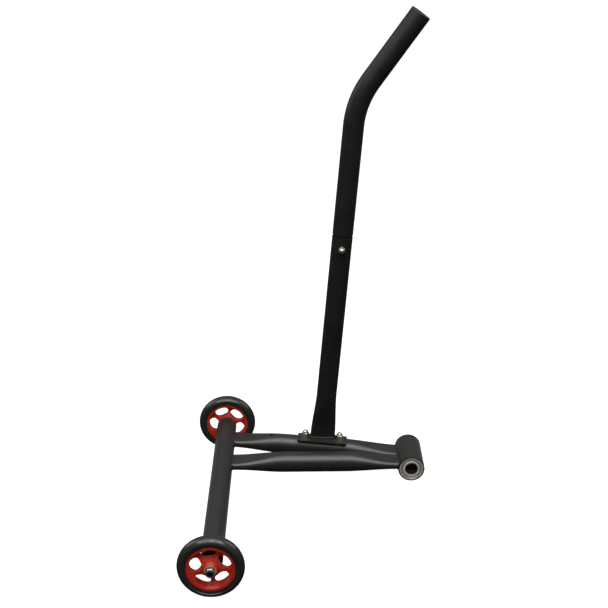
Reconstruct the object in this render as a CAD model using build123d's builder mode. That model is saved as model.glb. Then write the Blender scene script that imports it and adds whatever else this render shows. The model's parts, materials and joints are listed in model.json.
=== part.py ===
from build123d import *
from math import asin, atan, cos, radians, sin, sqrt
import os

# Wheeled lever: a cross tube on two small wheels, two arms that run to a pivot sleeve with
# ball bearings, and a two-piece upright handle bolted to one of the arms.
# Origin: middle of the pivot bore. +Y runs along the pivot and the wheel axles, +X from the
# axle towards the pivot, +Z up. It stands on its two tyres and on the pivot sleeve.
# "outboard" is the wheel at the long, free end of the cross tube (-Y); "inboard" is the other.

# ---- driving dimensions (mm, degrees) ----
WHEEL_R = 62.5
TYRE_HALF_WIDTH = 13.4
RIM_R = 45.3
RIM_HALF_WIDTH = 11.7
HUB_HALF_WIDTH = 16.0
HUB_RECESS = 0.4
HUB_SHOULDER = 2.0
BOSS_WALL = 1.8
SPOKES = 5
SPOKE_HALF_THICKNESS = 3.5
WINDOW_INNER_R = 17.3
WINDOW_MIDDLE_R = 31.0
WINDOW_HALF_WIDTH = 16.1
WINDOW_TAPER = 0.32
WINDOW_SKEW = -0.31  # sideways shift of a window for each mm further out
WINDOW_OUTER_R = 40.2
WINDOW_OUTER_CORNER = 8.5
WINDOW_INNER_CORNER = 11.0
TYRE_BAND_R = 51.0
TYRE_CROWN_R = 52.0
TYRE_BAND_STEP = 0.6
TYRE_RIM_STEP = 0.2

SLEEVE_R = 27.75
SLEEVE_LENGTH = 106.0
AXLE_TO_PIVOT = 398.5
OUTBOARD_Y = -450.5
INBOARD_Y = 138.0

TUBE_R = 21.2
TUBE_WALL = 2.0
TUBE_END_GAP = 22.0
SECTION_FLAT = 0.4  # half the narrow flat left on the edges of every pressed section
PLUG_DEPTH = 10.0
PLUG_FLANGE = 1.5
SLEEVE_SHOULDER = 1.5

ARM_R = 21.3
ARM_FLAT_THICKNESS = 16.0
ARM_TUBE_END_WIDTH = 50.0
ARM_SLEEVE_END_WIDTH = 47.5
ARM_SLEEVE_END_SHIFT = 3.7
ARM_SPREAD_AT_AXLE = 54.1
ARM_SPREAD_AT_PIVOT = 16.0

PLATE_LENGTH = 106.0
PLATE_BACK = 9.5
PLATE_FRONT = 26.0
PLATE_THICKNESS = 3.2
PLATE_CORNER = 1.5
PLATE_CENTRE = 210.5
BOLT_PITCH = 74.0
SPARE_HOLE = PLATE_CENTRE - 1.5 * BOLT_PITCH
BOLT_HOLE_R = 4.25

POST_LEAN = 7.35
POST_LENGTH = 457.0
POST_BASE_WIDTH = 53.0
POST_BASE_DEPTH = 17.0
POST_FLAT = 5.0
POST_FLARE = 105.0
JOINT_BOLT_HEIGHT = 435.0

SPIGOT_R = 19.15
SPIGOT_DEPTH = 57.0
SPIGOT_CHAMFER = 0.5
SWAGE_LENGTH = 6.0
BEND_START = 687.0
BEND_RADIUS = 178.0
BEND_ANGLE = 30.8
GRIP_LENGTH = 159.0
CAP_FLANGE = 2.5
CAP_DEPTH = 14.0

# Bearings: bore radius, outside radius, width, ball radius, pitch radius, ball count,
# inner ring shoulder radius, outer ring shoulder radius.
WHEEL_BEARING = (5.0, 11.0, 6.0, 1.59, 8.0, 9, 6.9, 9.2)
PIVOT_BEARING = (12.5, 26.0, 15.0, 3.97, 19.5, 9, 17.2, 21.6)
RACE_CLEARANCE = 0.05
SHIELD_GAP = 0.3
SHIELD_THICKNESS = 0.8
SHIELD_RECESS = 0.5
SHIELD_SEAT = 1.4
SHIELD_SEAT_SHARE = 0.4  # of the outer ring's wall
BORE_CHAMFERS = {"wheel": 0.3, "pivot": 1.0}

# Fasteners: thread radius, across flats, nut height, head height.
M8 = (3.95, 13.0, 13.5, 5.3)
M10 = (4.95, 17.0, 10.0, 6.4)
COLLAR_HEIGHT_SHARE = 0.27
COLLAR_SHARE = 0.46
INSERT_SHARE = 0.8
INSERT_HEIGHT_SHARE = 0.9
HEX_BEVEL_SHARE = 0.45
DOME_R = 6.1
DOME_THREAD_DEPTH = 10.0
THREAD_END_GAP = 1.0
BOLT_TIP_CHAMFER = 0.8
WASHER_R = 7.2
WASHER_THICKNESS = 1.0
SPACER_R = 8.0
HUB_SPACER_R = 7.0
PIVOT_SPACER_R = 15.5

# ---- derived places ----
SLOPE = asin((WHEEL_R - SLEEVE_R) / AXLE_TO_PIVOT)
AXLE_X = -AXLE_TO_PIVOT * cos(SLOPE)
AXLE_Z = WHEEL_R - SLEEVE_R
SPREAD_RATE = (ARM_SPREAD_AT_AXLE - ARM_SPREAD_AT_PIVOT) / AXLE_TO_PIVOT
ARM_ANGLE = atan(SPREAD_RATE)
TUBE_START_Y = OUTBOARD_Y + TUBE_END_GAP
TUBE_END_Y = INBOARD_Y - TUBE_END_GAP

# The deck is the plane of the two arms. Its X runs from the axle down to the pivot.
DECK_X = Vector(cos(SLOPE), 0, -sin(SLOPE))
DECK_Z = Vector(sin(SLOPE), 0, cos(SLOPE))
deck = Plane(origin=(0, 0, 0), x_dir=DECK_X, z_dir=DECK_Z)

# Direction of the inboard arm, from the axle to the pivot. The outboard arm is its mirror image.
ARM_DIRECTION = DECK_X * cos(ARM_ANGLE) - Vector(0, sin(ARM_ANGLE), 0)


def arm_spread(from_axle):
    """Distance of an arm's centre line from the middle plane, at a distance from the axle."""
    return ARM_SPREAD_AT_AXLE - SPREAD_RATE * from_axle


def on_deck(from_axle, across, above=0):
    return deck.from_local_coords((from_axle - AXLE_TO_PIVOT, across, above))


def save(builder, label):
    builder.part.label = label
    export_step(builder.part, f"parts/{label}.step")


def smooth(value):
    value = min(max(value, 0.0), 1.0)
    return value * value * (3 - 2 * value)


os.makedirs("parts", exist_ok=True)

# Each end's plane lies in the middle of its wheel, with Z pointing away from the cross tube.
ends = {
    "outboard": Plane(origin=(AXLE_X, OUTBOARD_Y, AXLE_Z), x_dir=(1, 0, 0), z_dir=(0, -1, 0)),
    "inboard": Plane(origin=(AXLE_X, INBOARD_Y, AXLE_Z), x_dir=(-1, 0, 0), z_dir=(0, 1, 0)),
}
FIRST_WINDOW = {"outboard": 20.5, "inboard": 38.0}

# ---- cross tube ----
with BuildPart() as cross_tube:
    with BuildSketch(Plane(origin=(AXLE_X, TUBE_START_Y, AXLE_Z), x_dir=(1, 0, 0), z_dir=(0, 1, 0))):
        Circle(TUBE_R)
        Circle(TUBE_R - TUBE_WALL, mode=Mode.SUBTRACT)
    extrude(amount=TUBE_END_Y - TUBE_START_Y)
save(cross_tube, "cross_tube")


# ---- bearings ----
def shield_seat(outside_r, shoulder_r):
    return shoulder_r + SHIELD_SEAT_SHARE * (outside_r - shoulder_r)


def inner_rings(planes, bearing, bore_chamfer):
    bore_r, _, width, ball_r, pitch_r, _, inner_r, _ = bearing
    with BuildPart(*planes) as rings:
        Cylinder(inner_r, width)
        Cylinder(bore_r, width, mode=Mode.SUBTRACT)
        Torus(pitch_r, ball_r + RACE_CLEARANCE, mode=Mode.SUBTRACT)
        bore_edges = rings.edges().filter_by(GeomType.CIRCLE).filter_by(lambda e: e.radius < bore_r + 0.1)
        chamfer(bore_edges, bore_chamfer)
    return rings


def outer_rings(planes, bearing):
    _, outside_r, width, ball_r, pitch_r, _, _, outer_r = bearing
    seat_r = shield_seat(outside_r, outer_r)
    with BuildPart(*planes) as rings:
        Cylinder(outside_r, width)
        Cylinder(outer_r, width, mode=Mode.SUBTRACT)
        Torus(pitch_r, ball_r + RACE_CLEARANCE / 2, mode=Mode.SUBTRACT)
        for side in (-1, 1):
            with Locations((0, 0, side * (width - SHIELD_SEAT) / 2)):
                Cylinder(seat_r, SHIELD_SEAT, mode=Mode.SUBTRACT)
    return rings


def balls(planes, bearing):
    ball_r, pitch_r, count = bearing[3:6]
    with BuildPart(*planes) as ball_set:
        with PolarLocations(pitch_r, count):
            Sphere(ball_r)
    return ball_set


def shields(planes, bearing):
    _, outside_r, width, _, _, _, inner_r, outer_r = bearing
    seat_r = shield_seat(outside_r, outer_r)
    offset = width / 2 - SHIELD_RECESS - SHIELD_THICKNESS / 2
    with BuildPart(*planes) as shield_set:
        for side in (-1, 1):
            with Locations((0, 0, side * offset)):
                Cylinder(seat_r, SHIELD_THICKNESS)
                Cylinder(inner_r + SHIELD_GAP, SHIELD_THICKNESS, mode=Mode.SUBTRACT)
    return shield_set


# ---- fasteners: Z of the plane points from the seat to the free end ----
def hex_prism(across_flats, height):
    """Hexagon on the XY plane with its far corners bevelled. A negative height goes down."""
    corner_r = across_flats / sqrt(3)
    bevel = HEX_BEVEL_SHARE * (corner_r - across_flats / 2)
    with BuildPart() as prism:
        with BuildSketch():
            RegularPolygon(corner_r, 6)
        extrude(amount=height)
        far_face = prism.faces().sort_by(Axis.Z)[-1 if height > 0 else 0]
        chamfer(far_face.edges(), bevel)
    return prism.part


def lock_nut(plane, size):
    thread_r, across_flats, height, _ = size
    collar_r = COLLAR_SHARE * across_flats
    collar_height = COLLAR_HEIGHT_SHARE * height
    body = hex_prism(across_flats, height - collar_height)
    with BuildPart(plane) as nut:
        add(body)
        with Locations((0, 0, height / 2)):
            Cylinder(collar_r, height)
            Cylinder(thread_r, height, mode=Mode.SUBTRACT)
        with Locations((0, 0, height - collar_height / 2)):
            Cylinder(INSERT_SHARE * collar_r, collar_height, mode=Mode.SUBTRACT)
    return nut.part


def nut_insert(plane, size):
    """Nylon ring held in the collar of a lock nut."""
    thread_r, across_flats, height, _ = size
    collar_height = COLLAR_HEIGHT_SHARE * height
    ring_height = INSERT_HEIGHT_SHARE * collar_height
    ring_start = height - collar_height
    with BuildPart(plane) as ring:
        with Locations((0, 0, ring_start + ring_height / 2)):
            Cylinder(INSERT_SHARE * COLLAR_SHARE * across_flats, ring_height)
            Cylinder(thread_r, ring_height, mode=Mode.SUBTRACT)
    return ring.part


def hex_bolt(plane, size, length):
    """Hexagon bolt whose head stands below the plane and whose shank runs up along Z."""
    thread_r, across_flats, _, head_height = size
    head = hex_prism(across_flats, -head_height)
    with BuildPart(plane) as bolt:
        add(head)
        with Locations((0, 0, length / 2)):
            Cylinder(thread_r, length)
        tip = bolt.faces().sort_by(lambda f: plane.to_local_coords(f.center()).Z)[-1]
        chamfer(tip.edges(), BOLT_TIP_CHAMFER)
    return bolt.part


def dome_nut(plane, size):
    """Cap nut: hexagon with a closed dome over a blind thread."""
    thread_r, across_flats, height, _ = size
    hexagon = hex_prism(across_flats, height - DOME_R)
    with BuildPart(plane) as nut:
        add(hexagon)
        with Locations((0, 0, height - DOME_R)):
            Sphere(DOME_R)
        with Locations((0, 0, DOME_THREAD_DEPTH / 2)):
            Cylinder(thread_r, DOME_THREAD_DEPTH, mode=Mode.SUBTRACT)
    return nut.part


def joined(parts):
    with BuildPart() as group:
        add(parts)
    return group


# ---- axle ends and wheels ----
def bearing_planes(plane, width):
    offset = HUB_HALF_WIDTH - width / 2
    return [plane.offset(-offset), plane.offset(offset)]


def tube_of(plane, outer_r, inner_r, length):
    with BuildPart() as tube:
        with BuildSketch(plane):
            Circle(outer_r)
            Circle(inner_r, mode=Mode.SUBTRACT)
        extrude(amount=length)
    return tube


def end_plug(tube_end):
    """Plug with a thin flange over the tube's end and a hole for the axle bolt."""
    with BuildPart(tube_end) as plug:
        with Locations((0, 0, PLUG_FLANGE / 2)):
            Cylinder(TUBE_R, PLUG_FLANGE)
        with Locations((0, 0, -PLUG_DEPTH / 2)):
            Cylinder(TUBE_R - TUBE_WALL, PLUG_DEPTH)
        with Locations((0, 0, (PLUG_FLANGE - PLUG_DEPTH) / 2)):
            Cylinder(M10[0], PLUG_FLANGE + PLUG_DEPTH, mode=Mode.SUBTRACT)
    return plug


def window_outline():
    """One window, on +X: a skewed trapezoid with rounded corners, cut by a circle at the rim."""

    def sides(radius):
        outwards = radius - WINDOW_MIDDLE_R
        half_width = WINDOW_HALF_WIDTH + WINDOW_TAPER * outwards
        middle = WINDOW_SKEW * outwards
        return (radius, middle - half_width), (radius, middle + half_width)

    with BuildSketch() as outline:
        with BuildLine():
            Polyline(*sides(WINDOW_INNER_R), *reversed(sides(RIM_R)), close=True)
        make_face()
        Circle(WINDOW_OUTER_R, mode=Mode.INTERSECT)
        fillet(outline.vertices().sort_by(Axis.X)[:2], WINDOW_INNER_CORNER)
        fillet(outline.vertices().sort_by(Axis.X)[-2:], WINDOW_OUTER_CORNER)
    return outline.sketch


def wheel_core(centre, first_window):
    """Five-spoke core: hub with two bearing seats, thin web with large windows, and rim.

    Both wheels are mounted the same way round, so their windows slant the same way.
    """
    plane = Plane(origin=centre, x_dir=(1, 0, 0), z_dir=(0, -1, 0))
    seat_r = WHEEL_BEARING[1]
    seat_floor = HUB_HALF_WIDTH - WHEEL_BEARING[2]
    hub_face = HUB_HALF_WIDTH - HUB_RECESS
    half_profile = [
        (seat_r - HUB_SHOULDER, seat_floor),
        (seat_r, seat_floor),
        (seat_r, hub_face),
        (seat_r + BOSS_WALL, hub_face),
        (16.0, 9.8),
        (30.0, SPOKE_HALF_THICKNESS),
        (37.0, 7.5),
        (40.2, 11.0),
        (41.0, RIM_HALF_WIDTH),
        (RIM_R, RIM_HALF_WIDTH),
    ]
    other_half = [(r, -z) for r, z in reversed(half_profile)]
    section = Plane(origin=plane.origin, x_dir=plane.x_dir, z_dir=-plane.y_dir)
    with BuildPart() as core:
        with BuildSketch(section):
            with BuildLine():
                Polyline(*half_profile, *other_half, close=True)
            make_face()
        revolve(axis=Axis(plane.origin, plane.z_dir))
        with BuildSketch(plane):
            with PolarLocations(0, SPOKES, start_angle=first_window):
                add(window)
        extrude(amount=HUB_HALF_WIDTH, both=True, mode=Mode.SUBTRACT)
    return core


def tyre(plane):
    """Moulded solid tyre: flat inner band, small step and rounded crown."""
    section = Plane(origin=plane.origin, x_dir=plane.x_dir, z_dir=-plane.y_dir)
    with BuildPart() as ring:
        with BuildSketch(section):
            with BuildLine():
                Polyline(
                    (TYRE_CROWN_R, -TYRE_HALF_WIDTH),
                    (TYRE_BAND_R, -RIM_HALF_WIDTH - TYRE_BAND_STEP),
                    (RIM_R, -RIM_HALF_WIDTH - TYRE_RIM_STEP),
                    (RIM_R, RIM_HALF_WIDTH + TYRE_RIM_STEP),
                    (TYRE_BAND_R, RIM_HALF_WIDTH + TYRE_BAND_STEP),
                    (TYRE_CROWN_R, TYRE_HALF_WIDTH),
                )
                EllipticalCenterArc(
                    (TYRE_CROWN_R, 0),
                    WHEEL_R - TYRE_CROWN_R,
                    TYRE_HALF_WIDTH,
                    start_angle=-90,
                    arc_size=180,
                )
            make_face()
        revolve(axis=Axis(plane.origin, plane.z_dir))
    return ring


window = window_outline()
for side, plane in ends.items():
    bearing_bore, _, bearing_width = WHEEL_BEARING[:3]
    tube_end = plane.offset(-TUBE_END_GAP)
    plug_start = tube_end.offset(-PLUG_DEPTH)
    plug_face = tube_end.offset(PLUG_FLANGE)
    bearing_face = plane.offset(HUB_HALF_WIDTH)
    nut_seat = bearing_face.offset(WASHER_THICKNESS)
    rings = bearing_planes(plane, bearing_width)
    inner_gap = HUB_HALF_WIDTH - bearing_width
    bolt_length = PLUG_DEPTH + TUBE_END_GAP + HUB_HALF_WIDTH + WASHER_THICKNESS + M10[2]

    save(end_plug(tube_end), f"end_plug_{side}")
    save(joined([hex_bolt(plug_start, M10, bolt_length)]), f"axle_bolt_{side}")
    spacer_length = TUBE_END_GAP - PLUG_FLANGE - HUB_HALF_WIDTH
    save(tube_of(plug_face, SPACER_R, bearing_bore, spacer_length), f"axle_spacer_{side}")
    hub_spacer = tube_of(plane.offset(-inner_gap), HUB_SPACER_R, bearing_bore, 2 * inner_gap)
    save(hub_spacer, f"hub_spacer_{side}")
    save(inner_rings(rings, WHEEL_BEARING, BORE_CHAMFERS["wheel"]), f"axle_rings_{side}")
    save(tube_of(bearing_face, WASHER_R, bearing_bore, WASHER_THICKNESS), f"axle_washer_{side}")
    save(joined([lock_nut(nut_seat, M10)]), f"axle_nut_{side}")
    save(joined([nut_insert(nut_seat, M10)]), f"axle_nut_insert_{side}")

    save(wheel_core(plane.origin, FIRST_WINDOW[side]), f"wheel_core_{side}")
    save(tyre(plane), f"tyre_{side}")
    save(outer_rings(rings, WHEEL_BEARING), f"wheel_rings_{side}")
    save(balls(rings, WHEEL_BEARING), f"wheel_balls_{side}")
    save(shields(rings, WHEEL_BEARING), f"wheel_seals_{side}")

# ---- pivot sleeve and its bearings ----
pivot = Plane(origin=(0, 0, 0), x_dir=(1, 0, 0), z_dir=(0, -1, 0))
pivot_bore, pivot_outside, pivot_width = PIVOT_BEARING[:3]
pivot_rings = [
    pivot.offset(side * (SLEEVE_LENGTH - pivot_width) / 2) for side in (-1, 1)
]
with BuildPart(pivot) as pivot_sleeve:
    Cylinder(SLEEVE_R, SLEEVE_LENGTH)
    Cylinder(pivot_outside - SLEEVE_SHOULDER, SLEEVE_LENGTH, mode=Mode.SUBTRACT)
    for side in (-1, 1):
        with Locations((0, 0, side * (SLEEVE_LENGTH - pivot_width) / 2)):
            Cylinder(pivot_outside, pivot_width, mode=Mode.SUBTRACT)
save(pivot_sleeve, "pivot_sleeve")
save(outer_rings(pivot_rings, PIVOT_BEARING), "pivot_outer_rings")
save(balls(pivot_rings, PIVOT_BEARING), "pivot_balls")
save(shields(pivot_rings, PIVOT_BEARING), "pivot_shields")
save(inner_rings(pivot_rings, PIVOT_BEARING, BORE_CHAMFERS["pivot"]), "pivot_inner_rings")
spacer_start = pivot.offset(-SLEEVE_LENGTH / 2 + pivot_width)
spacer_length = SLEEVE_LENGTH - 2 * pivot_width
save(tube_of(spacer_start, PIVOT_SPACER_R, pivot_bore, spacer_length), "pivot_spacer")

# ---- arms: round tubes pressed flat at both ends, coped to the cross tube and the sleeve ----
ARM_STATIONS = [8, 26, 47, 68, 90, 111, 132, 142, 160, 195, 230, 248, 258, 279, 301, 322, 344, 365, 381, 396]
TUBE_END_FLAT, TUBE_END_ROUND = 26.0, 132.0
SLEEVE_END_ROUND, SLEEVE_END_FLAT = 258.0, 365.0


def arm_section(distance, inset):
    """Width, thickness and outward shift of an arm's section, less an inset on every side."""
    if distance < SLEEVE_END_ROUND:
        roundness = smooth((distance - TUBE_END_FLAT) / (TUBE_END_ROUND - TUBE_END_FLAT))
        flat_width = ARM_TUBE_END_WIDTH
        shift = 0.0
    else:
        roundness = smooth((SLEEVE_END_FLAT - distance) / (SLEEVE_END_FLAT - SLEEVE_END_ROUND))
        flat_width = ARM_SLEEVE_END_WIDTH
        shift = ARM_SLEEVE_END_SHIFT * (1 - roundness)
    width = flat_width + (2 * ARM_R - flat_width) * roundness
    thickness = ARM_FLAT_THICKNESS + (2 * ARM_R - ARM_FLAT_THICKNESS) * roundness
    return width - 2 * inset, thickness - 2 * inset, shift


def arm_plane(distance):
    start = on_deck(0, ARM_SPREAD_AT_AXLE)
    across = DECK_Z.cross(ARM_DIRECTION)
    return Plane(origin=start + ARM_DIRECTION * distance, x_dir=across, z_dir=ARM_DIRECTION)


def arm_loft(inset):
    with BuildPart() as solid:
        for distance in ARM_STATIONS:
            width, thickness, shift = arm_section(distance, inset)
            with BuildSketch(arm_plane(distance)):
                with Locations((shift, 0)):
                    RectangleRounded(width, thickness, thickness / 2 - SECTION_FLAT)
        loft()
    return solid.part


def arm(holes):
    """One arm on the inboard side, with bolt holes at these distances from the axle."""
    outside = arm_loft(0)
    inside = arm_loft(TUBE_WALL)
    tube_axis = Plane(origin=(AXLE_X, 0, AXLE_Z), x_dir=(1, 0, 0), z_dir=(0, 1, 0))
    with BuildPart() as tube:
        add(outside)
        add(inside, mode=Mode.SUBTRACT)
        with BuildSketch(tube_axis):
            Circle(TUBE_R)
        extrude(amount=2 * ARM_SPREAD_AT_AXLE, both=True, mode=Mode.SUBTRACT)
        with BuildSketch(pivot):
            Circle(SLEEVE_R)
        extrude(amount=SLEEVE_LENGTH, both=True, mode=Mode.SUBTRACT)
        for distance in holes:
            seat = on_deck(distance, arm_spread(distance))
            with BuildSketch(Plane(origin=seat, x_dir=DECK_X, z_dir=DECK_Z)):
                Circle(BOLT_HOLE_R)
            extrude(amount=2 * ARM_R, both=True, mode=Mode.SUBTRACT)
        split(bisect_by=Plane(origin=(0, 0, 0), z_dir=(0, 1, 0)), keep=Keep.TOP)
    return tube


bolt_places = [PLATE_CENTRE - BOLT_PITCH / 2, PLATE_CENTRE + BOLT_PITCH / 2]
arm_inboard = arm([SPARE_HOLE, *bolt_places])
save(arm_inboard, "arm_inboard")
with BuildPart() as arm_outboard:
    mirror(arm([]).part, about=Plane.XZ)
save(arm_outboard, "arm_outboard")

# ---- foot plate on the inboard arm; X of its plane runs along the arm ----
SEAT_GAP = 0.05
plate_plane = Plane(
    origin=on_deck(PLATE_CENTRE, arm_spread(PLATE_CENTRE), ARM_R + SEAT_GAP),
    x_dir=ARM_DIRECTION,
    z_dir=DECK_Z,
)
plate_top = plate_plane.offset(PLATE_THICKNESS)
bolt_step = BOLT_PITCH / 2 / cos(ARM_ANGLE)
with BuildPart() as foot_plate:
    with BuildSketch(plate_plane) as outline:
        with Locations((0, (PLATE_BACK - PLATE_FRONT) / 2)):
            RectangleRounded(PLATE_LENGTH, PLATE_BACK + PLATE_FRONT, PLATE_CORNER)
        with Locations((-bolt_step, 0), (bolt_step, 0)):
            Circle(BOLT_HOLE_R, mode=Mode.SUBTRACT)
    extrude(amount=PLATE_THICKNESS)
save(foot_plate, "foot_plate")

# ---- through-bolts of the foot plate ----
heads = []
nuts = []
for along in (-bolt_step, bolt_step):
    centre = plate_plane.from_local_coords((along, 0, 0))
    seat = Plane(origin=centre, x_dir=ARM_DIRECTION, z_dir=DECK_Z)
    heads.append(seat.offset(-2 * ARM_R - 2 * SEAT_GAP))
    nuts.append(seat.offset(PLATE_THICKNESS))
plate_bolt_length = 2 * (ARM_R + SEAT_GAP) + PLATE_THICKNESS + DOME_THREAD_DEPTH - THREAD_END_GAP
save(joined([hex_bolt(seat, M8, plate_bolt_length) for seat in heads]), "plate_bolts")
save(joined([dome_nut(seat, M8) for seat in nuts]), "plate_nuts")

# ---- lower post: round tube, pressed flat at the foot and cut to the plate ----
post_direction = Vector(sin(radians(POST_LEAN)), 0, cos(radians(POST_LEAN)))
post_foot = plate_top.origin
post = Plane(origin=post_foot, x_dir=Vector(0, 1, 0).cross(post_direction), z_dir=post_direction)
POST_STATIONS = [-6, 4, 21, 38, 55, 72, 89, POST_FLARE]


def post_section(height, inset):
    roundness = smooth((height - POST_FLAT) / (POST_FLARE - POST_FLAT))
    width = POST_BASE_WIDTH + (2 * TUBE_R - POST_BASE_WIDTH) * roundness
    depth = POST_BASE_DEPTH + (2 * TUBE_R - POST_BASE_DEPTH) * roundness
    return width - 2 * inset, depth - 2 * inset


def post_solid(inset):
    with BuildPart() as solid:
        for height in POST_STATIONS:
            width, depth = post_section(height, inset)
            with BuildSketch(post.offset(height)):
                RectangleRounded(width, depth, depth / 2 - SECTION_FLAT)
        loft()
        with BuildSketch(post.offset(POST_FLARE)):
            width, depth = post_section(POST_FLARE, inset)
            RectangleRounded(width, depth, depth / 2 - SECTION_FLAT)
        extrude(amount=POST_LENGTH - POST_FLARE)
    return solid.part


post_outside = post_solid(0)
post_inside = post_solid(TUBE_WALL)
joint_plane = Plane(origin=post.offset(JOINT_BOLT_HEIGHT).origin, x_dir=post_direction, z_dir=(0, -1, 0))
with BuildPart() as lower_post:
    add(post_outside)
    add(post_inside, mode=Mode.SUBTRACT)
    split(bisect_by=plate_top, keep=Keep.TOP)
    with BuildSketch(joint_plane):
        Circle(BOLT_HOLE_R)
    extrude(amount=2 * TUBE_R, both=True, mode=Mode.SUBTRACT)
save(lower_post, "lower_post")

# ---- upper handle: spigot, swage, straight tube, one bend and the grip end ----
# In this plane X runs up the post and Y towards the side the grip leans to.
bend_plane = Plane(origin=post_foot, x_dir=post_direction, z_dir=(0, 1, 0))
spigot_start = POST_LENGTH - SPIGOT_DEPTH
swage_end = POST_LENGTH + SWAGE_LENGTH
spigot_profile = [
    (spigot_start, SPIGOT_R - TUBE_WALL),
    (spigot_start, SPIGOT_R - SPIGOT_CHAMFER),
    (spigot_start + 2 * SPIGOT_CHAMFER, SPIGOT_R),
    (POST_LENGTH, SPIGOT_R),
    (swage_end, TUBE_R),
    (swage_end, TUBE_R - TUBE_WALL),
    (POST_LENGTH, SPIGOT_R - TUBE_WALL),
]
with BuildPart() as upper_handle:
    with BuildSketch(bend_plane):
        with BuildLine():
            Polyline(*spigot_profile, close=True)
        make_face()
    revolve(axis=Axis(post_foot, post_direction))
    with BuildLine(bend_plane) as handle_path:
        Line((swage_end, 0), (BEND_START, 0))
        JernArc(start=(BEND_START, 0), tangent=(1, 0), radius=BEND_RADIUS, arc_size=BEND_ANGLE)
        PolarLine(handle_path.line @ 1, GRIP_LENGTH, direction=handle_path.line % 1)
    with BuildSketch(Plane(origin=handle_path.line @ 0, z_dir=handle_path.line % 0)):
        Circle(TUBE_R)
        Circle(TUBE_R - TUBE_WALL, mode=Mode.SUBTRACT)
    sweep()
    with BuildSketch(joint_plane):
        Circle(BOLT_HOLE_R)
    extrude(amount=2 * TUBE_R, both=True, mode=Mode.SUBTRACT)
save(upper_handle, "upper_handle")

grip_end = Plane(origin=handle_path.line @ 1, z_dir=handle_path.line % 1)
with BuildPart(grip_end) as end_cap:
    with Locations((0, 0, CAP_FLANGE / 2)):
        Cylinder(TUBE_R, CAP_FLANGE)
    with Locations((0, 0, -CAP_DEPTH / 2)):
        Cylinder(TUBE_R - TUBE_WALL, CAP_DEPTH)
        Cylinder(TUBE_R - 2 * TUBE_WALL, CAP_DEPTH, mode=Mode.SUBTRACT)
    rim = end_cap.faces().sort_by(lambda f: grip_end.to_local_coords(f.center()).Z)[-1]
    fillet(rim.edges(), CAP_FLANGE / 2)
save(end_cap, "end_cap")

# ---- bolt through the post and the spigot, nut on the outboard side ----
post_bolt_length = 2 * TUBE_R + DOME_THREAD_DEPTH - THREAD_END_GAP
bolt_seat = joint_plane.offset(-TUBE_R)
nut_seat = joint_plane.offset(TUBE_R)
save(joined([hex_bolt(bolt_seat, M8, post_bolt_length)]), "joint_bolt")
save(joined([dome_nut(nut_seat, M8)]), "joint_nut")
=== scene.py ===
import json
import math
import random

import bmesh
import bpy
from mathutils import Matrix, Vector


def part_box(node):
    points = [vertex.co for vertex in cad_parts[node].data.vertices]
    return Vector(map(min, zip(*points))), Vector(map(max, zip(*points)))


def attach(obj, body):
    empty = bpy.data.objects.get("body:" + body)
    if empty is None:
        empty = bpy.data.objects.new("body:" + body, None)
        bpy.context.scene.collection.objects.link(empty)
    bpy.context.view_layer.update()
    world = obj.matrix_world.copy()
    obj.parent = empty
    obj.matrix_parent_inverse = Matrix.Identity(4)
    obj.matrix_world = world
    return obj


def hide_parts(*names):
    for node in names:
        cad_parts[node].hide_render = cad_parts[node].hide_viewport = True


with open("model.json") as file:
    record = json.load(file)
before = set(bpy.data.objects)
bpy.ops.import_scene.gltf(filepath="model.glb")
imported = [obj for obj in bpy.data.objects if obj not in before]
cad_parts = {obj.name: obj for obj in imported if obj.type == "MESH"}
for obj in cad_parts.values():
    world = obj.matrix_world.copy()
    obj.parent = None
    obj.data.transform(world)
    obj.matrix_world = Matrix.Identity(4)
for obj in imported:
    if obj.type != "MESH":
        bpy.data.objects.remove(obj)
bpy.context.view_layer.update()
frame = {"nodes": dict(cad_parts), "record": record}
nodes = frame["nodes"]

MM = 0.001
FLOOR_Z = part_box("pivot_sleeve")[0][2]


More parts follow.
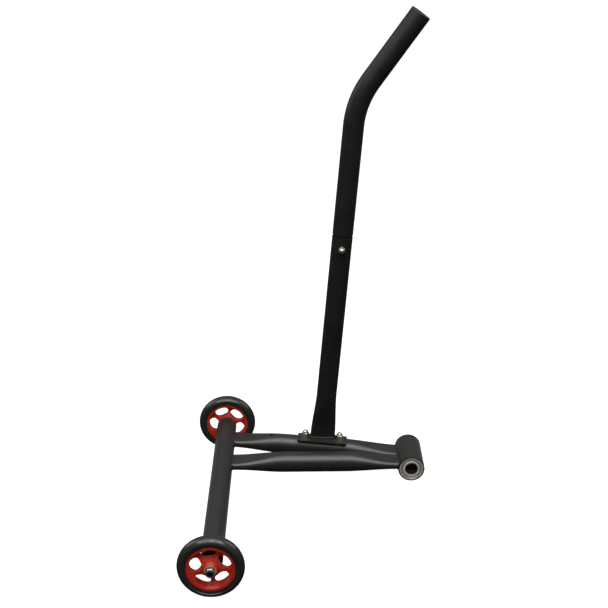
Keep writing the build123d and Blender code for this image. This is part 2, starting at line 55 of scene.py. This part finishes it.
# ---- materials ----
class Surface:
    """A procedural material: one Principled shader with noise for colour, roughness and bump."""

    def __init__(self, name, metallic=0.0, specular=0.5):
        self.material = bpy.data.materials.new(name)
        self.material.use_nodes = True
        self.tree = self.material.node_tree
        self.tree.nodes.clear()
        output = self.node("ShaderNodeOutputMaterial")
        self.shader = self.node("ShaderNodeBsdfPrincipled")
        self.shader.inputs["Metallic"].default_value = metallic
        self.shader.inputs["Specular IOR Level"].default_value = specular
        self.link(self.shader.outputs["BSDF"], output.inputs["Surface"])
        self.place = self.node("ShaderNodeTexCoord").outputs["Object"]

    def node(self, kind):
        return self.tree.nodes.new(kind)

    def link(self, source, target):
        self.tree.links.new(source, target)

    def noise(self, size, detail=3.0, roughness=0.55):
        """Noise whose features are about this many metres across."""
        texture = self.node("ShaderNodeTexNoise")
        texture.inputs["Scale"].default_value = 1.0 / size
        texture.inputs["Detail"].default_value = detail
        texture.inputs["Roughness"].default_value = roughness
        self.link(self.place, texture.inputs["Vector"])
        return texture.outputs["Fac"]

    def ramp(self, value, stops):
        """Colours at places along a value."""
        ramp = self.node("ShaderNodeValToRGB")
        elements = ramp.color_ramp.elements
        while len(elements) < len(stops):
            elements.new(0.5)
        for element, (position, colour) in zip(elements, stops):
            element.position = position
            element.color = (*colour, 1.0)
        self.link(value, ramp.inputs["Fac"])
        return ramp.outputs["Color"]

    def spread(self, value, start, end, low, high):
        """A value from start..end spread over low..high."""
        node = self.node("ShaderNodeMapRange")
        node.inputs["From Min"].default_value = start
        node.inputs["From Max"].default_value = end
        node.inputs["To Min"].default_value = low
        node.inputs["To Max"].default_value = high
        self.link(value, node.inputs["Value"])
        return node.outputs["Result"]

    def edges(self, radius):
        """1 on sharp edges, falling to 0 at this distance from them."""
        bevel = self.node("ShaderNodeBevel")
        bevel.samples = 4
        bevel.inputs["Radius"].default_value = radius
        facing = self.node("ShaderNodeNewGeometry").outputs["Normal"]
        product = self.node("ShaderNodeVectorMath")
        product.operation = "DOT_PRODUCT"
        self.link(bevel.outputs["Normal"], product.inputs[0])
        self.link(facing, product.inputs[1])
        return self.spread(product.outputs["Value"], 0.985, 0.88, 0.0, 1.0)

    def mixed(self, amount, first, second):
        """first where amount is 0, second where it is 1."""
        mix = self.node("ShaderNodeMix")
        mix.data_type = "RGBA"
        self.link(amount, mix.inputs["Factor"])
        self.link(first, mix.inputs["A"])
        if isinstance(second, tuple):
            mix.inputs["B"].default_value = (*second, 1.0)
        else:
            self.link(second, mix.inputs["B"])
        return mix.outputs["Result"]

    def multiplied(self, first, second):
        product = self.node("ShaderNodeMath")
        product.operation = "MULTIPLY"
        self.link(first, product.inputs[0])
        self.link(second, product.inputs[1])
        return product.outputs["Value"]

    def bump(self, height, distance, rounding):
        """Grain of this depth over edges that are softened by this radius."""
        softened = self.node("ShaderNodeBevel")
        softened.samples = 4
        softened.inputs["Radius"].default_value = rounding
        node = self.node("ShaderNodeBump")
        self.link(softened.outputs["Normal"], node.inputs["Normal"])
        node.inputs["Distance"].default_value = distance
        node.inputs["Strength"].default_value = 1.0
        self.link(height, node.inputs["Height"])
        self.link(node.outputs["Normal"], self.shader.inputs["Normal"])

    def finish(self, colour, roughness):
        self.link(colour, self.shader.inputs["Base Color"])
        self.link(roughness, self.shader.inputs["Roughness"])
        return self.material


def coat(name, dark, light, edge_highlight, roughness, specular, grain, depth, rounding=0.5 * MM):
    """Paint, plastic or rubber: cloudy colour, fine grain, and a painted highlight: a lighter colour in
    patches along sharp edges.
    """
    surface = Surface(name, specular=specular)
    clouds = surface.ramp(surface.noise(30 * MM), [(0.3, dark), (0.7, light)])
    patchy = surface.spread(surface.noise(5 * MM, detail=5), 0.35, 0.65, 0.1, 1.0)
    # painted highlight: sharp edges, in patches, are mixed towards a lighter colour
    edge_highlight_mask = surface.multiplied(surface.edges(0.35 * MM), patchy)
    surface.bump(surface.noise(grain, detail=2), depth, rounding)
    shine = surface.spread(surface.noise(12 * MM, detail=5), 0.3, 0.7, *roughness)
    return surface.finish(surface.mixed(edge_highlight_mask, clouds, edge_highlight), shine)


def metal(name, dark, light, roughness, grain, depth, metallic=1.0):
    """Bare or plated metal: mottled colour and fine marks."""
    surface = Surface(name, metallic=metallic)
    mottle = surface.ramp(surface.noise(3 * MM, detail=4), [(0.35, dark), (0.65, light)])
    surface.bump(surface.noise(grain, detail=3), depth, 0.3 * MM)
    shine = surface.spread(surface.noise(2 * MM, detail=5), 0.3, 0.7, *roughness)
    return surface.finish(mottle, shine)


# the third colour of each coat is the painted highlight on its sharp edges
materials = {
    "frame_paint": coat(
        "frame_paint", (0.0173, 0.0168, 0.0158), (0.023, 0.0223, 0.0211), (0.045, 0.044, 0.041),
        (0.30, 0.38), 0.70, 0.9 * MM, 0.018 * MM,
    ),
    "black_paint": coat(
        "black_paint", (0.006, 0.006, 0.006), (0.010, 0.010, 0.010), (0.03, 0.03, 0.03),
        (0.35, 0.5), 0.3, 0.9 * MM, 0.015 * MM,
    ),
    # painted shade: near-black with almost no reflection, for the dark ring at each sleeve end round the
    # bearings
    "painted_shade_edge": coat(
        "painted_shade_edge", (0.0012, 0.0012, 0.0012), (0.002, 0.002, 0.002), (0.004, 0.004, 0.004),
        (0.45, 0.55), 0.04, 0.9 * MM, 0.010 * MM,
    ),
    "post_paint": coat(
        "post_paint", (0.0103, 0.0101, 0.0098), (0.0145, 0.0142, 0.0138), (0.04, 0.04, 0.039),
        (0.36, 0.46), 0.33, 0.9 * MM, 0.016 * MM,
    ),
    "cap_plastic": coat(
        "cap_plastic", (0.022, 0.022, 0.022), (0.03, 0.03, 0.029), (0.05, 0.05, 0.05),
        (0.45, 0.6), 0.4, 0.5 * MM, 0.01 * MM,
    ),
    "red_plastic": coat(
        "red_plastic", (0.48, 0.017, 0.006), (0.58, 0.031, 0.011), (0.85, 0.18, 0.10),
        (0.30, 0.42), 0.45, 0.8 * MM, 0.01 * MM,
    ),
    "tyre_rubber": coat(
        "tyre_rubber", (0.020, 0.0195, 0.0187), (0.027, 0.0262, 0.025), (0.045, 0.044, 0.042),
        (0.17, 0.25), 0.6, 2.5 * MM, 0.003 * MM, 0.12 * MM,
    ),
    "seal_rubber": coat(
        "seal_rubber", (0.01, 0.01, 0.01), (0.018, 0.018, 0.018), (0.03, 0.03, 0.03),
        (0.45, 0.6), 0.4, 0.4 * MM, 0.006 * MM,
    ),
    "nylon": coat(
        "nylon", (0.010, 0.014, 0.06), (0.014, 0.022, 0.09), (0.03, 0.04, 0.14),
        (0.3, 0.4), 0.5, 0.5 * MM, 0.004 * MM,
    ),
    "bearing_steel": metal(
        "bearing_steel", (0.70, 0.67, 0.60), (0.88, 0.85, 0.78), (0.30, 0.42), 0.4 * MM, 0.002 * MM, 0.3,
    ),
    "shield_steel": metal(
        "shield_steel", (0.36, 0.345, 0.31), (0.46, 0.44, 0.40), (0.30, 0.42), 0.4 * MM, 0.002 * MM, 0.45,
    ),
    "spacer_steel": metal(
        "spacer_steel", (0.10, 0.095, 0.085), (0.16, 0.15, 0.14), (0.4, 0.55), 0.4 * MM, 0.008 * MM,
    ),
    "dark_bolt": metal(
        "dark_bolt", (0.02, 0.02, 0.02), (0.04, 0.04, 0.04), (0.35, 0.5), 0.3 * MM, 0.005 * MM,
    ),
    "zinc": metal(
        "zinc", (0.46, 0.425, 0.31), (0.66, 0.62, 0.48), (0.22, 0.34), 0.35 * MM, 0.003 * MM, 0.92,
    ),
}

for part in frame["record"]["subparts"]:
    node = nodes[part["node"]]
    for index in range(len(node.material_slots)):
        node.material_slots[index].material = materials[part["material_slot"]]


# ---- weld beads ----
SLEEVE_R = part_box("pivot_sleeve")[1][2]
TUBE_LOW, TUBE_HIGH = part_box("cross_tube")
TUBE_R = (TUBE_HIGH.z - TUBE_LOW.z) / 2
AXLE = Vector(((TUBE_HIGH.x + TUBE_LOW.x) / 2, 0.0, (TUBE_HIGH.z + TUBE_LOW.z) / 2))
AXLE_TO_PIVOT = math.hypot(AXLE.x, AXLE.z)
DECK_X = -AXLE.normalized()
DECK_Z = Vector((-DECK_X.z, 0.0, DECK_X.x))
SPREAD_AT_AXLE, SPREAD_AT_PIVOT = 54.1 * MM, 16.0 * MM
ARM_ANGLE = math.atan((SPREAD_AT_AXLE - SPREAD_AT_PIVOT) / AXLE_TO_PIVOT)
ARM_THICKNESS = 16.0 * MM
TUBE_END_WIDTH, SLEEVE_END_WIDTH, SLEEVE_END_SHIFT = 50.0 * MM, 47.5 * MM, 3.7 * MM
PLATE_TOP = 24.55 * MM
POST_FROM_AXLE, POST_LEAN = 210.5 * MM, math.radians(7.35)
POST_BASE = (53.0 * MM, 17.0 * MM)

BEAD_SIDES = 10
BEAD_RIPPLE = 0.13
BEAD_SPREAD = 0.22
BEAD_DRIFT = 0.35
ARM_BEAD_RIPPLE, POST_BEAD_RIPPLE = 4.5 * MM, 6.5 * MM
ARM_TUBE_BEAD_R, ARM_SLEEVE_BEAD_R, POST_BEAD_R = 1.9 * MM, 2.1 * MM, 3.6 * MM
ARM_BEAD_POINTS, POST_BEAD_POINTS = 72, 96
SLEEVE_BEAD_GAP = 0.3 * MM
POST_BEAD_LIFT = 0.6 * MM


def rounded_outline(width, thickness, count):
    """Points round a section with half-round ends, evenly spaced, as (across, above)."""
    radius = thickness / 2
    flat = width - thickness
    arc = math.pi * radius
    total = 2 * (flat + arc)
    points = []
    for index in range(count):
        along = total * index / count
        if along < flat:
            points.append((along - flat / 2, radius))
        elif along < flat + arc:
            turn = (along - flat) / radius
            points.append((flat / 2 + radius * math.sin(turn), radius * math.cos(turn)))
        elif along < 2 * flat + arc:
            points.append((flat / 2 - (along - flat - arc), -radius))
        else:
            turn = (along - 2 * flat - arc) / radius
            points.append((-flat / 2 - radius * math.sin(turn), -radius * math.cos(turn)))
    return points


def bridge(mesh, first, second, shift=0):
    """Faces between two rings with as many corners as each other."""
    count = len(first)
    for corner in range(count):
        beyond = (corner + 1) % count
        mesh.faces.new((
            first[corner], first[beyond],
            second[(beyond + shift) % count], second[(corner + shift) % count],
        ))


def smooth_data(name, mesh):
    """A mesh with its normals outwards and its faces smooth."""
    bmesh.ops.recalc_face_normals(mesh, faces=mesh.faces)
    for face in mesh.faces:
        face.smooth = True
    data = bpy.data.meshes.new(name)
    mesh.to_mesh(data)
    mesh.free()
    return data


def placed(name, data):
    piece = bpy.data.objects.new(name, data)
    bpy.context.scene.collection.objects.link(piece)
    return piece


def weld_bead(name, path, radius, closed, ripple, seed):
    """A rippled bead along a path: a tube whose thickness swells at every pass of the torch."""
    draw = random.Random(seed)
    mesh = bmesh.new()
    rings = []
    travelled, wander, side = 0.0, 1.0, None
    for index, point in enumerate(path):
        before = path[index - 1] if closed or index else point
        after = path[(index + 1) % len(path)] if closed or index < len(path) - 1 else point
        travelled += (point - before).length
        wander += BEAD_DRIFT * (draw.uniform(1 - BEAD_SPREAD, 1 + BEAD_SPREAD) - wander)
        size = radius * wander * (1.0 + BEAD_RIPPLE * math.sin(2 * math.pi * travelled / ripple))
        heading = (after - before).normalized()
        if side is None:
            side = heading.orthogonal().normalized()
        else:
            side = (side - heading * side.dot(heading)).normalized()
        other = heading.cross(side)
        ring = []
        for step in range(BEAD_SIDES):
            turn = 2 * math.pi * step / BEAD_SIDES
            offset = side * (size * math.cos(turn)) + other * (size * math.sin(turn))
            ring.append(mesh.verts.new(point + offset))
        rings.append(ring)
    for first, second in zip(rings, rings[1:]):
        bridge(mesh, first, second)
    start, end = rings[0], rings[-1]
    if closed:
        nearest = min(range(BEAD_SIDES), key=lambda corner: (start[corner].co - end[0].co).length)
        bridge(mesh, end, start, nearest)
    else:
        mesh.faces.new(list(reversed(start)))
        mesh.faces.new(end)
    bead = placed(name, smooth_data(name, mesh))
    rounding = bead.modifiers.new("rounding", "SUBSURF")
    rounding.levels = 1
    rounding.render_levels = 1
    return bead


def dress(piece, slot):
    piece.data.materials.append(materials[slot])
    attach(piece, "frame")


def cope(centre, radius, width, shift, side, leaving):
    """Where an arm's outline meets a round tube across it. side is 1 inboard, -1 outboard."""
    direction = DECK_X * math.cos(ARM_ANGLE) - Vector((0.0, side * math.sin(ARM_ANGLE), 0.0))
    across = DECK_Z.cross(direction) * side
    base = Vector((AXLE.x, side * SPREAD_AT_AXLE, AXLE.z))
    points = []
    for out, above in rounded_outline(width, ARM_THICKNESS, ARM_BEAD_POINTS):
        start = base + across * (out + shift) + DECK_Z * above - centre
        # the travel along the arm at which the distance from the tube's axis is its radius
        a = direction.x ** 2 + direction.z ** 2
        b = start.x * direction.x + start.z * direction.z
        c = start.x ** 2 + start.z ** 2 - radius ** 2
        root = math.sqrt(b * b - a * c)
        travel = (-b + root if leaving else -b - root) / a
        points.append(start + centre + direction * travel)
    return points


def arm_welds():
    for name, side in (("inboard", 1), ("outboard", -1)):
        path = cope(AXLE, TUBE_R, TUBE_END_WIDTH, 0.0, side, True)
        bead = weld_bead(
            f"weld_arm_tube_{name}", path, ARM_TUBE_BEAD_R, True, ARM_BEAD_RIPPLE, 11 + side,
        )
        dress(bead, "frame_paint")
        ring = cope(Vector(), SLEEVE_R, SLEEVE_END_WIDTH, SLEEVE_END_SHIFT, side, False)
        start = min(range(len(ring)), key=lambda i: side * ring[i].y)
        path = [point for point in ring[start:] + ring[:start] if side * point.y > SLEEVE_BEAD_GAP]
        bead = weld_bead(
            f"weld_arm_sleeve_{name}", path, ARM_SLEEVE_BEAD_R, False, ARM_BEAD_RIPPLE, 21 + side,
        )
        dress(bead, "frame_paint")


def post_weld():
    direction = DECK_X * math.cos(ARM_ANGLE) - Vector((0.0, math.sin(ARM_ANGLE), 0.0))
    spread = SPREAD_AT_AXLE - math.tan(ARM_ANGLE) * POST_FROM_AXLE
    foot = AXLE + DECK_X * POST_FROM_AXLE + Vector((0.0, spread, 0.0)) + DECK_Z * PLATE_TOP
    lean = Vector((math.sin(POST_LEAN), 0.0, math.cos(POST_LEAN)))
    along = Vector((0.0, 1.0, 0.0)).cross(lean)
    points = []
    for out, above in rounded_outline(*POST_BASE, POST_BEAD_POINTS):
        corner = foot + along * out + Vector((0.0, above, 0.0))
        rise = (foot - corner).dot(DECK_Z) / lean.dot(DECK_Z)
        points.append(corner + lean * rise + DECK_Z * POST_BEAD_LIFT)
    dress(weld_bead("weld_post", points, POST_BEAD_R, True, POST_BEAD_RIPPLE, 31), "post_paint")


# ---- pivot bearings: sections as (radius, depth below the outer face), in millimetres ----
BEARING_WIDTH = 15.0
BALL_PITCH_R = 19.5
GROOVE_R = 4.07
GROOVE_STEPS = 8
OUTER_SHOULDER_R, INNER_SHOULDER_R = 21.6, 17.2
BORE_FACE_R = 13.6
LATHE_SEGMENTS = 96
SHARP_FROM = math.radians(35)


def lathe(mesh, profile, face_y, inwards):
    """A closed section turned about the Y axis, with its depths running inwards from face_y."""
    rings = []
    for index in range(LATHE_SEGMENTS):
        turn = 2 * math.pi * index / LATHE_SEGMENTS
        rings.append([
            mesh.verts.new((
                radius * MM * math.cos(turn),
                face_y + inwards * depth * MM,
                radius * MM * math.sin(turn),
            ))
            for radius, depth in profile
        ])
    for index, ring in enumerate(rings):
        bridge(mesh, ring, rings[(index + 1) % LATHE_SEGMENTS])


def bearing_part(name, node, body, profile, finish, bore_material=None):
    """Both pivot bearings' copies of one ring, shield or lip. The faces of the bore can take a second
    material.
    """
    near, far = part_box("pivot_outer_rings")
    pair = bmesh.new()
    for face_y, inwards in ((near.y, 1), (far.y, -1)):
        lathe(pair, profile, face_y, inwards)
    data = smooth_data(name, pair)
    data.set_sharp_from_angle(angle=SHARP_FROM)
    data.materials.append(materials[finish])
    if bore_material:
        data.materials.append(materials[bore_material])
        for face in data.polygons:
            corners = [data.vertices[index].co for index in face.vertices]
            if all(math.hypot(co.x, co.z) < (BORE_FACE_R + 0.1) * MM for co in corners):
                face.material_index = 1
    part = placed(name, data)
    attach(part, body)
    if node:
        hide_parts(node)


def ball_groove(shoulder, side):
    """Half a ball groove, from a ring's shoulder to its middle. side is 1 outside the balls, -1 inside."""
    widest = math.acos(abs(BALL_PITCH_R - shoulder) / GROOVE_R)
    turns = [widest * (1 - step / GROOVE_STEPS) for step in range(GROOVE_STEPS + 1)]
    return [
        (BALL_PITCH_R + side * GROOVE_R * math.cos(turn), BEARING_WIDTH / 2 - GROOVE_R * math.sin(turn))
        for turn in turns
    ]


def mirrored_profile(half):
    """A ring's section from one face to the middle, repeated to the other face."""
    far_half = [
        (radius, BEARING_WIDTH - depth) for radius, depth in reversed(half) if depth < BEARING_WIDTH / 2
    ]
    return half + far_half


def outer_rings():
    middle = BEARING_WIDTH / 2
    half = [
        (26.0, middle), (26.0, 1.2), (25.7, 0.4), (25.0, 0.0), (23.8, 0.0), (23.45, 0.3), (23.4, 1.4),
        (OUTER_SHOULDER_R, 1.4), *ball_groove(OUTER_SHOULDER_R, 1),
    ]
    bearing_part(
        "pivot_bearing_outers", "pivot_outer_rings", "frame",
        mirrored_profile(half), "bearing_steel",
    )


def inner_rings():
    middle = BEARING_WIDTH / 2
    half = [
        (12.5, middle), (12.5, 1.4), (12.8, 0.5), (BORE_FACE_R, 0.0), (16.7, 0.0), (17.1, 0.3),
        (INNER_SHOULDER_R, 0.9), *ball_groove(INNER_SHOULDER_R, -1),
    ]
    # the bore and its chamfer in darker steel than the rest of the ring
    bearing_part(
        "pivot_bearing_inners", "pivot_inner_rings", "pivot_core",
        mirrored_profile(half), "bearing_steel", "spacer_steel",
    )


def shields():
    """Outer shields, with a crimped rim, a raised bead and a lip next to the inner ring."""
    section = [
        (23.3, 1.30), (22.75, 1.30), (22.45, 0.40), (22.1, 0.30), (21.1, 0.30), (20.8, 0.40),
        (20.5, 0.80), (19.0, 0.80), (18.6, 1.20), (17.6, 1.30), (17.6, 1.50), (23.3, 1.50),
    ]
    bearing_part(
        "pivot_bearing_shields", "pivot_shields", "frame", section, "shield_steel",
    )


def sleeve_lips():
    """The edge of the sleeve, turned over the corner of the outer ring, in near-black that paints the
    shade round each bearing.
    """
    section = [
        (24.9, 0.1), (25.0, -0.1), (25.4, -0.25), (27.2, -0.25), (27.6, -0.1), (27.7, 0.2),
        (27.7, 0.8), (26.4, 0.8), (26.2, 0.2),
    ]
    bearing_part("pivot_sleeve_lips", None, "frame", section, "painted_shade_edge")


arm_welds()
post_weld()
outer_rings()
inner_rings()
shields()
sleeve_lips()


# ---- camera ----
CAMERA_PLACE = (-0.18161, -2.42744, 1.29656)
CAMERA_YAW, CAMERA_PITCH, CAMERA_ROLL = 0.012161, 0.367113, -0.047
CAMERA_LENS, CAMERA_SENSOR = 75.08, 36.0


def aim_camera():
    """A camera turned by yaw, then tipped down by pitch, then rolled."""
    yaw, pitch, roll = CAMERA_YAW, CAMERA_PITCH, CAMERA_ROLL
    forward = Vector((-math.sin(yaw) * math.cos(pitch), math.cos(yaw) * math.cos(pitch), -math.sin(pitch)))
    level = Vector((math.cos(yaw), math.sin(yaw), 0.0))
    upright = level.cross(forward)
    right = level * math.cos(roll) + upright * math.sin(roll)
    up = -level * math.sin(roll) + upright * math.cos(roll)
    data = bpy.data.cameras.new("camera")
    data.sensor_width = CAMERA_SENSOR
    data.lens = CAMERA_LENS
    data.clip_end = 100.0
    camera = bpy.data.objects.new("camera", data)
    bpy.context.scene.collection.objects.link(camera)
    turn = Matrix((right, up, -forward)).transposed().to_4x4()
    camera.matrix_world = Matrix.Translation(CAMERA_PLACE) @ turn
    bpy.context.scene.camera = camera


aim_camera()


# ---- floor and light ----
FLOOR_SIZE = 80.0
FLOOR_GAP = 0.3 * MM
LAMP_TARGET = (-0.4, -0.15, 0.1)
SIDE_TARGET = (-0.2, 0.0, 0.3)
# name: place, target, width and height, watts
SOFT_BOXES = {
    "key": ((-0.2, -1.4, 2.9), (-0.2, -0.1, 0.1), (3.6, 3.4), 88.0),
    "lamp_left": ((-1.85, -1.0, 2.5), LAMP_TARGET, (0.3, 0.3), 6.0),
    "lamp_middle": ((-0.18, -1.4, 2.7), LAMP_TARGET, (0.3, 0.3), 6.0),
    "lamp_right": ((0.94, -1.36, 2.4), LAMP_TARGET, (0.3, 0.3), 6.0),
    "left": ((-2.7, 0.9, 1.9), SIDE_TARGET, (1.4, 1.8), 14.0),
    "right": ((2.3, 0.9, 1.9), SIDE_TARGET, (1.4, 1.8), 14.0),
}


def pale_floor():
    """A plain floor that is seen, but throws no light back up, as a dull studio floor."""
    bpy.ops.mesh.primitive_plane_add(size=FLOOR_SIZE, location=(0.0, 0.0, FLOOR_Z - FLOOR_GAP))
    floor = bpy.context.object
    floor.name = "floor"
    surface = Surface("floor_paper", specular=0.0)
    paper = surface.ramp(surface.noise(0.8), [(0.3, (0.34, 0.34, 0.34)), (0.7, (0.36, 0.36, 0.36))])
    dullness = surface.spread(surface.noise(0.05), 0.3, 0.7, 0.85, 0.95)
    surface.shader.inputs["Emission Color"].default_value = (1.0, 1.0, 1.0, 1.0)
    surface.shader.inputs["Emission Strength"].default_value = 1.0
    floor.data.materials.append(surface.finish(paper, dullness))
    floor.visible_diffuse = False
    floor.visible_glossy = False


def soft_box(name, place, target, size, power):
    data = bpy.data.lights.new(name, "AREA")
    data.shape = "RECTANGLE"
    data.size, data.size_y = size
    data.energy = power
    lamp = bpy.data.objects.new(name, data)
    lamp.location = place
    lamp.rotation_euler = (Vector(target) - Vector(place)).to_track_quat("-Z", "Y").to_euler()
    bpy.context.scene.collection.objects.link(lamp)


def surroundings():
    """A dim room, lighter overhead, with a pale backdrop low down behind the object."""
    world = bpy.data.worlds.new("studio")
    world.use_nodes = True
    tree = world.node_tree
    background = tree.nodes["Background"]
    background.inputs["Color"].default_value = (1.0, 1.0, 1.0, 1.0)
    split = tree.nodes.new("ShaderNodeSeparateXYZ")
    tree.links.new(tree.nodes.new("ShaderNodeTexCoord").outputs["Generated"], split.inputs["Vector"])

    def eased(axis, start, end, low, high):
        ramp = tree.nodes.new("ShaderNodeMapRange")
        ramp.interpolation_type = "SMOOTHSTEP"
        values = {"From Min": start, "From Max": end, "To Min": low, "To Max": high}
        for name, value in values.items():
            ramp.inputs[name].default_value = value
        tree.links.new(split.outputs[axis], ramp.inputs["Value"])
        return ramp.outputs["Result"]

    def combined(operation, first, second):
        node = tree.nodes.new("ShaderNodeMath")
        node.operation = operation
        tree.links.new(first, node.inputs[0])
        tree.links.new(second, node.inputs[1])
        return node.outputs["Value"]

    room = eased("Z", -0.1, 0.8, 0.03, 0.30)
    backdrop = combined("MULTIPLY", eased("Y", 0.55, 0.95, 0.0, 0.22), eased("Z", 0.2, -0.1, 0.0, 1.0))
    tree.links.new(combined("ADD", room, backdrop), background.inputs["Strength"])
    bpy.context.scene.world = world
    bpy.context.scene.view_settings.view_transform = "Standard"


pale_floor()
surroundings()
for name, (place, target, size, power) in SOFT_BOXES.items():
    soft_box(name, place, target, size, power)
